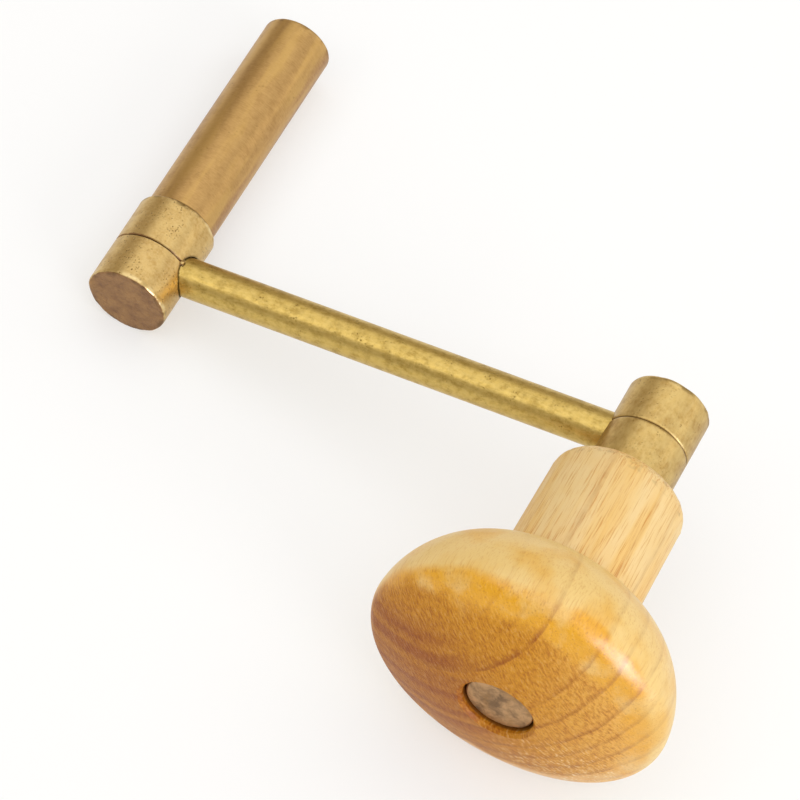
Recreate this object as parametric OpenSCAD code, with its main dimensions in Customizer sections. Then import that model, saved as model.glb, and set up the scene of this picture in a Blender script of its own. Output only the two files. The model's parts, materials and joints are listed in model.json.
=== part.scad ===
// Crank winding key for a clock: brass barrel with a square socket, two turned
// bosses joined by a round arm, and a wooden knob that turns on a steel spindle.
// The key lies on its side. Origin: centre of the socket's mouth. +Y leaves the
// mouth along the barrel, +X runs towards the handle and +Z is up.

/* [Barrel] */
// Diameter of the barrel
barrel_d = 11.1; // [10:0.1:12.5]
// Length of barrel that stands out of its boss
barrel_reach = 39.2; // [30:0.1:60]
// Rounding of the barrel's mouth edge
mouth_round = 0.5; // [0.1:0.1:1]
// Rounding of the barrel's shoulder, where it meets its boss
shoulder_round = 0.1; // [0.05:0.05:0.4]
// Width of the square socket across its flats
socket_w = 5.5; // [4.5:0.25:6]
// Depth of the square socket
socket_depth = 18; // [12:0.5:24]
// Depth of the drilled relief below the square
relief_depth = 3; // [1:0.5:5]
// Width of the lead-in round the socket's mouth
lead_in = 0.6; // [0.2:0.1:1]
// Diameter of the spigot that seats in the boss
spigot_d = 8; // [6:0.5:9]
// Length of the spigot
spigot_len = 4; // [2:0.25:4.25]

/* [Bosses] */
// Diameter of both bosses
boss_d = 12.7; // [12.6:0.1:16]
// Length of a boss from the arm's axis to its front end, on the barrel's side
boss_front = 8.15; // [8:0.05:12]
// Length of a boss from the arm's axis to its back end, on the knob's side
boss_back = 7.75; // [6:0.05:12]
// Rounding of the barrel boss's end edges
barrel_boss_round = 0.3; // [0.1:0.1:1]
// Rounding of the handle boss's end edges
handle_boss_round = 0.6; // [0.1:0.1:1]
// Width of the turned line that marks out the arm's axis
line_w = 0.3; // [0.1:0.1:0.6]
// Depth of the turned line
line_depth = 0.2; // [0.1:0.05:0.4]

/* [Arm] */
// Diameter of the arm
arm_d = 6; // [5:0.1:7]
// Distance between the axes of the barrel and the knob
throw = 80.6; // [60:0.1:120]
// How far the arm runs past the axis of each boss
arm_past = 4; // [2.6:0.1:5]
// Chamfer on the arm's ends
arm_chamfer = 0.4; // [0.1:0.1:1]

/* [Knob] */
// Diameter of the knob's head at its rim
knob_d = 45.2; // [40:0.2:60]
// Length of the knob from its neck to the crown of its face
knob_len = 41.8; // [36:0.1:55]
// Distance from the crown of the face back to the middle of the rim
crown_h = 8; // [5:0.1:10]
// Radius of the rim's own rounding
rim_r = 3.6; // [2:0.1:4.5]
// Radius of the rounded back of the head
back_r = 14.5; // [12:0.1:18]
// Angle past the rim's widest line at which the back takes over
back_turn = 4.5; // [0:0.5:15]
// Diameter of the neck where it meets the boss
neck_top_d = 20.5; // [18:0.1:24]
// Diameter of the neck where it meets the head
neck_foot_d = 20.9; // [18:0.1:25]
// Rounding of the neck's top edge
neck_round = 2.6; // [0.2:0.1:3]
// Chamfer on the edge of the counterbore
sink_chamfer = 0.4; // [0.1:0.1:0.8]

/* [Spindle] */
// Diameter of the spindle's bearing shank
spindle_d = 6.35; // [5:0.05:8]
// Diameter of the spindle's head
head_d = 10.4; // [9:0.1:12]
// Thickness of the spindle's head
head_t = 2; // [1.2:0.1:3]
// Rounding of the head's edge
head_round = 0.4; // [0.1:0.1:0.8]
// Depth of the head's face below the crown of the knob
head_sink = 1.4; // [0.6:0.1:2.5]
// Diameter of the riveted tail
tail_d = 4; // [3:0.1:4.2]
// Diameter of the riveted end in the boss's front face
rivet_d = 5.6; // [4.6:0.1:7]
// Depth of the countersink that the riveted end fills
rivet_t = 1; // [0.5:0.1:1.5]

/* [Fits] */
// Radial clearance of the knob's bore on the spindle
spin_clear = 0.05; // [0.02:0.01:0.1]
// End clearance of the knob at the boss and at the spindle's head
end_clear = 0.15; // [0.1:0.05:0.4]
// Radial clearance round the spindle's head
head_clear = 0.3; // [0.2:0.05:0.6]
// Gap left for the brazing between fixed pieces
braze_gap = 0.03; // [0.01:0.01:0.06]

/* [Hidden] */

$fn = 128;
// Overshoot of a cutting shape past the face that it cuts
over = 1;
// Angle from the arm at which a boss's section starts its turn, clear of the cross hole
seam_turn = 45;

barrel_r = barrel_d / 2;
boss_r = boss_d / 2;
arm_r = arm_d / 2;
spindle_r = spindle_d / 2;
tail_r = tail_d / 2;
head_r = head_d / 2;
rivet_r = rivet_d / 2;
neck_top_r = neck_top_d / 2;
neck_foot_r = neck_foot_d / 2;
knob_r = knob_d / 2;

// The arm's axis lies this far behind the socket's mouth
arm_y = -(barrel_reach + boss_front);
// Roll about the barrel that lays the boss and the knob's rim on one level surface
lie_angle = asin((knob_r - boss_r) / throw);

// Knob stations, measured along its axis from the top of the neck
rim_z = knob_len - crown_h;
rim_x = knob_r - rim_r;
face_r = (rim_x * rim_x + crown_h * crown_h - rim_r * rim_r) / (2 * (crown_h - rim_r));
face_z = knob_len - face_r;
back_x = rim_x - (back_r - rim_r) * cos(back_turn);
back_z = rim_z + (back_r - rim_r) * sin(back_turn);
// Angle from the face's centre to the middle of the rim
face_turn = atan2(rim_z - face_z, rim_x);

// Spindle stations, measured along its axis from the boss's back end
head_face_z = end_clear + knob_len - head_sink;
head_foot_z = head_face_z - head_t;
sink_floor_z = head_foot_z - 2 * end_clear;
sink_r = head_r + head_clear;
bore_r = spindle_r + spin_clear;
// Where the face's curve reaches the edge of the counterbore
sink_edge_z = face_z + sqrt(face_r * face_r - sink_r * sink_r);

// Half section of a turned bar on the Y axis, with a rounded edge at each end
module bar_section(r, length, foot_round, top_round) {
    difference() {
        square([r, length]);
        translate([r - top_round, length - top_round])
            corner_waste(top_round);
        translate([r - foot_round, foot_round])
            mirror([0, 1])
                corner_waste(foot_round);
    }
}

// What a rounded corner takes off, seen from the centre of its arc
module corner_waste(r) {
    difference() {
        square(r + over);
        circle(r);
    }
}

// Turns a piece built along +Z so that it runs along +Y
module along_y() {
    rotate([-90, 0, 0])
        children();
}

// Puts a piece built round the arm's axis, barrel side at +Y, into the lying key
module lie() {
    translate([0, arm_y, 0])
        rotate([0, -lie_angle, 0])
            children();
}

// Places a piece at the handle end of the arm
module at_handle() {
    lie()
        translate([throw, 0, 0])
            children();
}

// Body of a boss with its turned line, from its back end to its front end
module boss_body(edge_round) {
    translate([0, -boss_back, 0])
        along_y()
            rotate([0, 0, seam_turn])
                rotate_extrude()
                    difference() {
                        bar_section(boss_r, boss_back + boss_front, edge_round, edge_round);
                        translate([boss_r, boss_back])
                            polygon([[over, -line_w / 2], [over, line_w / 2], [0, line_w / 2],
                                [-line_depth, 0], [0, -line_w / 2]]);
                    }
}

// Cross hole for the arm's end, opening towards side (1 or -1 along X)
module arm_seat(side) {
    rotate([0, side * 90, 0])
        translate([0, 0, -(arm_past + braze_gap)])
            cylinder(r = arm_r + braze_gap, h = arm_past + boss_r + over);
}

// Square socket with its drilled relief and lead-in, cut from the mouth
module socket_cut() {
    translate([-socket_w / 2, -socket_depth, -socket_w / 2])
        cube([socket_w, socket_depth + over, socket_w]);
    translate([0, -(socket_depth + relief_depth), 0])
        along_y()
            cylinder(d = socket_w, h = relief_depth + over);
    translate([0, -lead_in, 0])
        along_y()
            cylinder(r1 = socket_w / sqrt(2) - lead_in / 2, r2 = socket_w / sqrt(2) + lead_in / 2, h = lead_in);
}

module winding_barrel() {
    color("#b98f46")
        difference() {
            union() {
                translate([0, -barrel_reach, 0])
                    along_y()
                        rotate_extrude()
                            bar_section(barrel_r, barrel_reach, shoulder_round, mouth_round);
                translate([0, -(barrel_reach + spigot_len), 0])
                    along_y()
                        cylinder(d = spigot_d, h = spigot_len + over);
            }
            socket_cut();
        }
}

module barrel_boss() {
    color("#c9a552")
        lie()
            difference() {
                boss_body(barrel_boss_round);
                arm_seat(1);
                translate([0, boss_front - spigot_len - braze_gap, 0])
                    along_y()
                        cylinder(r = spigot_d / 2 + braze_gap, h = spigot_len + over);
            }
}

module crank_arm() {
    arm_len = throw + 2 * arm_past;
    color("#a8913e")
        lie()
            difference() {
                translate([-arm_past, 0, 0])
                    rotate([0, 90, 0])
                        rotate_extrude()
                            polygon([[0, 0], [arm_r - arm_chamfer, 0], [arm_r, arm_chamfer],
                                [arm_r, arm_len - arm_chamfer], [arm_r - arm_chamfer, arm_len], [0, arm_len]]);
                // the spindle's tail locks the arm's handle end
                translate([throw, -arm_d, 0])
                    along_y()
                        cylinder(r = tail_r + braze_gap, h = 2 * arm_d);
            }
}

module handle_boss() {
    color("#c2a85c")
        at_handle()
            difference() {
                boss_body(handle_boss_round);
                arm_seat(-1);
                translate([0, -boss_back - over, 0])
                    along_y()
                        cylinder(r = tail_r + braze_gap, h = boss_back + boss_front + 2 * over);
                translate([0, boss_front - rivet_t, 0])
                    along_y()
                        cylinder(r1 = tail_r + braze_gap, r2 = rivet_r + braze_gap, h = rivet_t);
            }
}

module handle_spindle() {
    boss_len = boss_back + boss_front;
    color("#8d8375")
        at_handle()
            translate([0, -boss_back, 0])
                rotate([90, 0, 0])
                    rotate_extrude()
                        union() {
                            // riveted end and tail, inside the boss
                            polygon([[0, -boss_len], [rivet_r, -boss_len], [tail_r, rivet_t - boss_len],
                                [tail_r, over], [0, over]]);
                            // bearing shank, shouldered on the boss
                            square([spindle_r, head_foot_z + head_t / 2]);
                            translate([0, head_foot_z])
                                bar_section(head_r, head_t, head_round, head_round);
                        }
}

// Half section of the knob: neck, rounded back, rim and domed face
module knob_section() {
    // rounded neck, run on into the head
    difference() {
        polygon([[0, 0], [neck_top_r, 0], [neck_foot_r, rim_z], [0, rim_z]]);
        translate([neck_top_r - neck_round, neck_round])
            mirror([0, 1])
                corner_waste(neck_round);
    }
    // head between the domed face and the rounded back, inside the middle of the rim
    intersection() {
        translate([0, face_z])
            circle(face_r);
        union() {
            translate([back_x, back_z])
                circle(back_r);
            square([back_x, knob_len]);
        }
        polygon([[0, back_z - back_r], [back_x, back_z - back_r], [knob_r, rim_z - rim_r * 4],
            [rim_x + rim_r * cos(back_turn), rim_z - rim_r * sin(back_turn)], [rim_x, rim_z],
            [rim_x + rim_r * cos(face_turn), rim_z + rim_r * sin(face_turn)],
            [rim_x + rim_r * cos(face_turn), knob_len], [0, knob_len]]);
    }
    translate([rim_x, rim_z])
        circle(rim_r);
}

module handle_knob() {
    color("#dca653")
        at_handle()
            translate([0, -(boss_back + end_clear), 0])
                rotate([90, 0, 0])
                    difference() {
                        rotate_extrude()
                            knob_section();
                        translate([0, 0, -over])
                            cylinder(r = bore_r, h = knob_len + 2 * over);
                        translate([0, 0, sink_floor_z])
                            cylinder(r = sink_r, h = knob_len);
                        translate([0, 0, sink_edge_z - sink_chamfer])
                            cylinder(r1 = sink_r, r2 = sink_r + 2 * sink_chamfer, h = 2 * sink_chamfer);
                    }
}

winding_barrel();
barrel_boss();
crank_arm();
handle_boss();
handle_spindle();
handle_knob();
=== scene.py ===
import bmesh
import bpy
import json
import math
from functools import partial
from mathutils import Matrix, Quaternion, Vector, noise


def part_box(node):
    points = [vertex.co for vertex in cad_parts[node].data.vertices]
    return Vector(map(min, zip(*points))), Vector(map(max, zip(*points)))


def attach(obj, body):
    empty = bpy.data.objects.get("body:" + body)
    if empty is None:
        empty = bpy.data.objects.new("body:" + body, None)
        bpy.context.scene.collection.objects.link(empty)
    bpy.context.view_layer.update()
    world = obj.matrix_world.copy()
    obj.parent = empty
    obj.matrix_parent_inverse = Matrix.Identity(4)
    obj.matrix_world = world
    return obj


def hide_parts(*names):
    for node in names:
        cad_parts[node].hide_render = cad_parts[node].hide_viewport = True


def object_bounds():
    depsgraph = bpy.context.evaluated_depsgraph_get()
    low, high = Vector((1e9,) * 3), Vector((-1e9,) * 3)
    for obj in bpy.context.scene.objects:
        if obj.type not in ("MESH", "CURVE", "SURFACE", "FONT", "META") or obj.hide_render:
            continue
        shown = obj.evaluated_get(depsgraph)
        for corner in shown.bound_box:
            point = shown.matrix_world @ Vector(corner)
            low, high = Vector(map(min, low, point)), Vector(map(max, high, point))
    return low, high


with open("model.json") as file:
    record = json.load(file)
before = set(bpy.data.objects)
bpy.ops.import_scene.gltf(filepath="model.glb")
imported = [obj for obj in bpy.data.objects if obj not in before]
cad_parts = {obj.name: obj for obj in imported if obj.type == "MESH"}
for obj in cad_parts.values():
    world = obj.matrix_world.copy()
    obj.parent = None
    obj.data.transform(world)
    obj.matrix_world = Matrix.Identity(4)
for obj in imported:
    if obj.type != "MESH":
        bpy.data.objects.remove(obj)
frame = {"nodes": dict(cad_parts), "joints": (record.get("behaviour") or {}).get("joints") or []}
cadLow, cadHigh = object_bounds()
scene = bpy.context.scene
mm = 0.001  # sizes below are in millimetres and become metres where a mesh is made
weldGap = 0.0005  # points closer than this become one
sharpAngle = math.radians(38)  # edges that turn further stay crisp
# a mark is wear where it is positive and painted shade where it is negative
longFade = 0.5  # how far from its edge a wear mark runs out
shortFade = 0.4  # the same where there is less room
drillSides = 96
print("frame loaded with", len(frame["nodes"]), "nodes")


def nodeBox(node):
    low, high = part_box(node)
    return low / mm, high / mm


# What the frame says: the knob's axis, the arm's axis and how far the key is rolled as it lies
hinge = Vector(frame["joints"][0]["pos_m"]) / mm
barrelLow, barrelHigh = nodeBox("winding_barrel")
bossLow, bossHigh = nodeBox("barrel_boss")
armLow, armHigh = nodeBox("crank_arm")
spindleLow = nodeBox("handle_spindle")[0]
knobLow, knobHigh = nodeBox("handle_knob")
throw = math.hypot(hinge.x, hinge.z)
lieAngle = math.atan2(hinge.z, hinge.x)
armY = (armLow.y + armHigh.y) / 2
armRadius = (armHigh.y - armLow.y) / 2
barrelRadius = (barrelHigh.x - barrelLow.x) / 2
bossRadius = (bossHigh.z - bossLow.z) / 2
knobRadius = (knobHigh.z - knobLow.z) / 2
bossFront = bossHigh.y - armY
bossBack = bossLow.y - armY
headFace = spindleLow.y - armY
neckTop = knobHigh.y - armY
lying = Matrix.Translation((0, armY, 0)) @ Matrix.Rotation(-lieAngle, 4, "Y")
atHandle = lying @ Matrix.Translation((throw, 0, 0))
print("key measured: throw", round(throw, 2), "knob radius", round(knobRadius, 2))


# One helper for every node tree: settings first, then values and links by socket name or number.
# A short kind such as Math is a shader node's, and what a Math node does stands after its inputs
def addNode(tree, kind, inputs=None, operation=None, **settings):
    node = tree.nodes.new(kind if "Node" in kind else "ShaderNode" + kind)
    if operation:
        settings["operation"] = operation
    for name, value in settings.items():
        setattr(node, name, value)
    for key, value in (inputs or {}).items():
        live = [socket for socket in node.inputs if socket.enabled]
        socket = live[key] if isinstance(key, int) else next(s for s in live if s.name == key)
        if isinstance(value, bpy.types.NodeSocket):
            tree.links.new(value, socket)
        else:
            socket.default_value = value
    return next((socket for socket in node.outputs if socket.enabled), None)


# Empties the tree of a material or world, ready for its nodes
def emptyTree(owner):
    owner.use_nodes = True
    owner.node_tree.nodes.clear()
    return partial(addNode, owner.node_tree)


softStep = {"interpolation_type": "SMOOTHSTEP"}  # for a Map Range with eased ends


# sRGB hex to the linear colour that a socket takes
def tint(hexCode):
    shares = [int(hexCode[i:i + 2], 16) / 255 for i in (1, 3, 5)]
    return [s / 12.92 if s <= 0.04045 else ((s + 0.055) / 1.055) ** 2.4 for s in shares] + [1]


# Lathe tree: a half section (x out from the axis, y along it) is swept round the Y axis
turnInputs = {
    "Section": "NodeSocketGeometry",
    "Sides": "NodeSocketInt",
    "Ripple Height": "NodeSocketFloat",
    "Ripple Size": "NodeSocketFloat",
    "Edge Dent": "NodeSocketFloat",
    "Dent Size": "NodeSocketFloat",
    "Seed": "NodeSocketFloat",
    "Finish": "NodeSocketMaterial",
}
turnLengths = ("Ripple Height", "Ripple Size", "Edge Dent", "Dent Size")  # given in millimetres
lathe = bpy.data.node_groups.new("latheTurning", "GeometryNodeTree")
lathe.interface.new_socket("Turned", in_out="OUTPUT", socket_type="NodeSocketGeometry")
turnIds = {}
for label, kind in turnInputs.items():
    turnIds[label] = lathe.interface.new_socket(label, in_out="INPUT", socket_type=kind).identifier


def buildLathe(tree):
    add = partial(addNode, tree)
    given = tree.nodes.new("NodeGroupInput").outputs
    count = add("GeometryNodeAttributeDomainSize", {"Geometry": given["Section"]}, component="MESH")
    columns = add("Math", {0: given["Sides"], 1: 1.0}, "ADD")
    grid = add("GeometryNodeMeshGrid", {"Vertices X": columns, "Vertices Y": count})
    # a grid counts its points column by column, so the remainder is the place along the section
    index = add("GeometryNodeInputIndex")
    along = add("Math", {0: index, 1: count}, "MODULO")
    column = add("Math", {0: index, 1: count}, "DIVIDE")
    column = add("Math", {0: column}, "FLOOR")
    share = add("Math", {0: column, 1: given["Sides"]}, "DIVIDE")
    angle = add("Math", {0: share, 1: 2 * math.pi}, "MULTIPLY")
    point = add("GeometryNodeSampleIndex", {
        "Geometry": given["Section"], "Value": add("GeometryNodeInputPosition"), "Index": along},
        data_type="FLOAT_VECTOR")
    mark = add("GeometryNodeSampleIndex", {
        "Geometry": given["Section"],
        "Value": add("GeometryNodeInputNamedAttribute", {"Name": "wear"}),
        "Index": along,
    })
    radius = add("SeparateXYZ", {"Vector": point})
    station = radius.node.outputs["Y"]
    cosine = add("Math", {0: angle}, "COSINE")
    sine = add("Math", {0: angle}, "SINE")
    across = add("Math", {0: radius, 1: cosine}, "MULTIPLY")
    upward = add("Math", {0: radius, 1: sine}, "MULTIPLY")
    place = add("CombineXYZ", {"X": across, "Y": station, "Z": upward})
    marked = add("GeometryNodeStoreNamedAttribute", {"Geometry": grid, "Name": "wear", "Value": mark})
    swept = add("GeometryNodeSetPosition", {"Geometry": marked, "Position": place})
    closed = add("GeometryNodeMergeByDistance", {"Geometry": swept, "Distance": weldGap * mm})
    # handwork: slow ripples all over, and smaller dents where the section is marked as a worn edge
    bumps = []
    for sizeName, heightName in (("Ripple Size", "Ripple Height"), ("Dent Size", "Edge Dent")):
        fine = add("Math", {0: 1.0, 1: given[sizeName]}, "DIVIDE")
        wave = add("TexNoise", {"W": given["Seed"], "Scale": fine, "Detail": 2.0}, noise_dimensions="4D")
        wave = add("Math", {0: wave, 1: 0.5}, "SUBTRACT")
        bumps.append(add("Math", {0: wave, 1: given[heightName]}, "MULTIPLY"))
    edge = add("GeometryNodeInputNamedAttribute", {"Name": "wear"})
    edge = add("Math", {0: edge, 1: 0.0}, "MAXIMUM")
    lift = add("Math", {0: edge, 1: bumps[1], 2: bumps[0]}, "MULTIPLY_ADD")
    lift = add("VectorMath", {0: add("GeometryNodeInputNormal"), "Scale": lift}, "SCALE")
    worked = add("GeometryNodeSetPosition", {"Geometry": closed, "Offset": lift})
    smooth = add("GeometryNodeSetShadeSmooth", {"Geometry": worked})
    real = add("GeometryNodeRealizeInstances", {"Geometry": smooth})
    finished = add("GeometryNodeSetMaterial", {"Geometry": real, "Material": given["Finish"]})
    add("NodeGroupOutput", {"Turned": finished})


buildLathe(lathe)


# An arc of a section, in degrees, each point with its mark: 1 a worn edge, -1 a corner with painted shade
def arc(centre, radius, start, end, steps, wear=0.0):
    points = []
    for i in range(steps + 1):
        angle = math.radians(start + (end - start) * i / steps)
        points.append((centre[0] + radius * math.cos(angle), centre[1] + radius * math.sin(angle), wear))
    return points


# Splits the long stretches of a section, so that ripples have points to move
def ruled(points, step):
    fine = [points[0]]
    for before, after in zip(points, points[1:]):
        pieces = max(1, math.ceil(math.dist(before[:2], after[:2]) / step))
        for i in range(1, pieces + 1):
            share = i / pieces
            fine.append(tuple(a + (b - a) * share for a, b in zip(before, after)))
    return fine


# Merges doubled points, turns the faces outwards and puts a mesh in its place
def settle(mesh, place):
    work = bmesh.new()
    work.from_mesh(mesh)
    bmesh.ops.remove_doubles(work, verts=work.verts, dist=weldGap * mm)
    bmesh.ops.recalc_face_normals(work, faces=work.faces)
    work.to_mesh(mesh)
    work.free()
    where = place.copy()
    where.translation *= mm
    mesh.transform(where)
    mesh.update()


# A piece turned from its half section, with its place in its mesh
def turnPiece(name, outline, place, size, finish):
    section = ruled(outline, size["sectionStep"])
    mesh = bpy.data.meshes.new(name)
    mesh.from_pydata([(r * mm, s * mm, 0) for r, s, wear in section],
                     [(i, i + 1) for i in range(len(section) - 1)], [])
    marks = mesh.attributes.new("wear", "FLOAT", "POINT")
    marks.data.foreach_set("value", [wear for r, s, wear in section])
    piece = bpy.data.objects.new(name, mesh)
    scene.collection.objects.link(piece)
    modifier = piece.modifiers.new("turning", "NODES")
    modifier.node_group = lathe
    for label, value in size["turning"].items():
        modifier[turnIds[label]] = value * mm if label in turnLengths else value
    modifier[turnIds["Finish"]] = finish
    bake(piece)
    piece.data.materials.clear()  # the grid's empty slot goes, so that walls cut later take the finish too
    piece.data.materials.append(finish)
    settle(piece.data, place)
    return piece


# Turns what the modifiers give into a plain mesh
def bake(piece):
    bpy.context.view_layer.update()
    depsgraph = bpy.context.evaluated_depsgraph_get()
    final = bpy.data.meshes.new_from_object(piece.evaluated_get(depsgraph), preserve_all_data_layers=True,
                                            depsgraph=depsgraph)
    piece.modifiers.clear()
    piece.data = final


# Cuts a shape out of a piece, or adds it, and drops the shape
def shapeWith(piece, mesh, operation="DIFFERENCE"):
    tool = bpy.data.objects.new("tool", mesh)
    scene.collection.objects.link(tool)
    cut = piece.modifiers.new("cut", "BOOLEAN")
    cut.operation = operation
    cut.object = tool
    cut.solver = "EXACT"
    bake(piece)
    bpy.data.objects.remove(tool)


# A straight or tapered drill along Z, from the first depth to the second
def drillMesh(startRadius, endRadius, start, end, place):
    work = bmesh.new()
    bmesh.ops.create_cone(work, cap_ends=True, segments=drillSides, radius1=startRadius * mm,
                          radius2=endRadius * mm, depth=(end - start) * mm)
    bmesh.ops.translate(work, verts=work.verts, vec=(0, 0, (start + end) / 2 * mm))
    mesh = bpy.data.meshes.new("drill")
    work.to_mesh(mesh)
    work.free()
    settle(mesh, place)
    return mesh


alongY = Matrix.Rotation(math.radians(-90), 4, "X")  # turns +Z to +Y


# Last steps for a piece: crisp edges, its body, and the node it stands for hidden, each by name
def dress(piece, body, node):
    piece.data.set_sharp_from_angle(angle=sharpAngle)
    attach(piece, body)
    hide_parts(node)
    print("piece", piece.name, "has", len(piece.data.polygons), "faces")


# Turned and drawn brass: a warm satin metal whose brushed lines, tarnish and pits break up its reflections,
# brighter on the nicked edges; painted shade darkens its corners, seams, sides, underside and sawn end, and
# painted sheen lies in bands along the bar. Lines and pits are drawn coarser than the real ones, so that
# they show
def brassFinish(name, look):
    material = bpy.data.materials.new(name)
    add = emptyTree(material)
    space = add("TexCoord").node
    # millimetres in the key's own directions: x along the arm, y along the barrel
    key = add("Mapping", {
        "Vector": space.outputs["Object"],
        "Location": (0, -armY, 0),
        "Rotation": (0, lieAngle, 0),
        "Scale": (1 / mm, 1 / mm, 1 / mm),
    })
    lines = add("Mapping", {"Vector": key, "Scale": [1 / s for s in look["brushSize"]]})
    brush = add("TexNoise", {"Vector": lines, "Scale": 1.0, "Detail": 3.0, "Roughness": 0.6})
    cloud = add("TexNoise", {
        "Vector": key, "Scale": 1 / look["cloudSize"], "Detail": 7.0, "Roughness": 0.7})
    tarnish = add("MapRange", {
        "Value": cloud, "From Min": 0.4, "From Max": 0.66, "To Max": look["tarnish"]}, **softStep)
    tone = add("Mix", {
        "Factor": tarnish, "A": tint(look["clean"]), "B": tint(look["aged"])}, data_type="RGBA")
    if "sideTone" in look:
        # painted shade: faces that turn away from straight up are painted browner, most of all the
        # underside, mottled by the cloud
        side = add("SeparateXYZ", {"Vector": space.outputs["Normal"]}).node.outputs["Z"]
        side = add("Math", {0: cloud, 1: -0.3, 2: side}, "MULTIPLY_ADD")
        side = add("MapRange", {
            "Value": side, "From Min": 0.6, "From Max": -0.1, "To Max": look["sideShadeShare"]}, **softStep)
        tone = add("Mix", {"Factor": side, "A": tone, "B": tint(look["sideTone"])}, data_type="RGBA")
    if "sheenBandTone" in look:
        # painted sheen: long soft brighter bands along the bar, at random places round it
        band = add("Mapping", {"Vector": key, "Scale": [1 / s for s in look["bandSize"]]})
        band = add("TexNoise", {"Vector": band, "Scale": 1.0, "Detail": 2.0})
        band = add("MapRange", {
            "Value": band, "From Min": 0.42, "From Max": 0.6, "To Max": look["sheenBandShare"]}, **softStep)
        tone = add("Mix", {"Factor": band, "A": tone, "B": tint(look["sheenBandTone"])}, data_type="RGBA")
    streak = add("MapRange", {
        "Value": brush, "From Min": 0.35, "From Max": 0.65, "To Max": look["brushTone"]})
    tone = add("Mix", {"Factor": streak, "A": tone, "B": tint(look["brushed"])}, data_type="RGBA")
    # pits: small dark specks, some cells only, and only where a slow noise lets them gather
    bend = add("TexNoise", {"Vector": key, "Scale": 1.5 / look["pitSize"], "Detail": 2.0})
    bend = add("VectorMath", {0: bend.node.outputs["Color"], "Scale": 0.9 * look["pitSize"]}, "SCALE")
    bend = add("VectorMath", {0: key, 1: bend}, "ADD")
    cells = add("TexVoronoi", {"Vector": bend, "Scale": 1 / look["pitSize"]}).node
    speck = add("MapRange", {"Value": cells.outputs["Distance"], "From Min": 0.45, "From Max": 0.1})
    chance = add("SeparateColor", {"Color": cells.outputs["Color"]})
    chance = add("MapRange", {"Value": chance, "From Min": 0.4, "From Max": 0.7})
    speck = add("Math", {0: speck, 1: chance}, "MULTIPLY")
    patch = add("TexNoise", {"Vector": key, "Scale": 1 / look["pitPatch"], "Detail": 2.0})
    patch = add("MapRange", {
        "Value": patch, "From Min": look["pitFrom"], "From Max": look["pitFrom"] + 0.2, "To Max": 0.9})
    pits = add("Math", {0: speck, 1: patch}, "MULTIPLY")
    tone = add("Mix", {"Factor": pits, "A": tone, "B": tint(look["pit"])}, data_type="RGBA")
    # worn edges: bright nicks and dark chips by turns, and painted shade in the corners
    wear = add("Attribute", attribute_name="wear").node.outputs["Fac"]
    worn = add("MapRange", {"Value": wear, "From Min": 0.1, "From Max": 0.8})
    nick = add("TexNoise", {"Vector": key, "Scale": 1 / look["nickSize"], "Detail": 3.0})
    bright = add("MapRange", {
        "Value": nick, "From Min": 0.48, "From Max": 0.6, "To Max": look["nickBright"]})
    bright = add("Math", {0: worn, 1: bright}, "MULTIPLY")
    along = add("SeparateXYZ", {"Vector": key})
    rubAndSheen = add("MapRange", {
        "Value": along, "From Min": look["nickLimit"][0], "From Max": look["nickLimit"][1], "To Min": 0.1})
    bright = add("Math", {0: bright, 1: rubAndSheen}, "MULTIPLY")
    tone = add("Mix", {"Factor": bright, "A": tone, "B": tint(look["edge"])}, data_type="RGBA")
    chip = add("MapRange", {"Value": nick, "From Min": 0.5, "From Max": 0.4, "To Max": look["nickDark"]})
    chip = add("Math", {0: worn, 1: chip}, "MULTIPLY")
    shadeAndChips = add("MapRange", {"Value": wear, "From Min": -0.15, "From Max": -0.8, "To Max": 0.9})
    shadeAndChips = add("Math", {0: shadeAndChips, 1: chip}, "MAXIMUM")
    if "seamShadeLimit" in look:
        # painted shade round the arm where it enters, between the two bosses only
        ring = add("VectorMath", {0: key, 1: (0, 1, 1)}, "MULTIPLY")
        ring = add("VectorMath", {0: ring}, "LENGTH").node.outputs["Value"]
        seamShade = add("MapRange", {
            "Value": ring, "From Min": look["seamShadeLimit"][0], "From Max": look["seamShadeLimit"][1],
            "To Max": 0.9})
        between = add("Math", {0: along, 1: throw / 2, 2: throw / 2}, "COMPARE")
        seamShade = add("Math", {0: seamShade, 1: between}, "MULTIPLY")
        shadeAndChips = add("Math", {0: shadeAndChips, 1: seamShade}, "MAXIMUM")
    rough = add("Math", {0: brush, 1: look["brushRough"], 2: look["roughness"]}, "MULTIPLY_ADD")
    rough = add("Math", {0: tarnish, 1: 0.12, 2: rough}, "MULTIPLY_ADD")
    height = add("Math", {0: pits, 1: -2.0, 2: brush}, "MULTIPLY_ADD")
    if "endShadeTone" in look:
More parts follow.
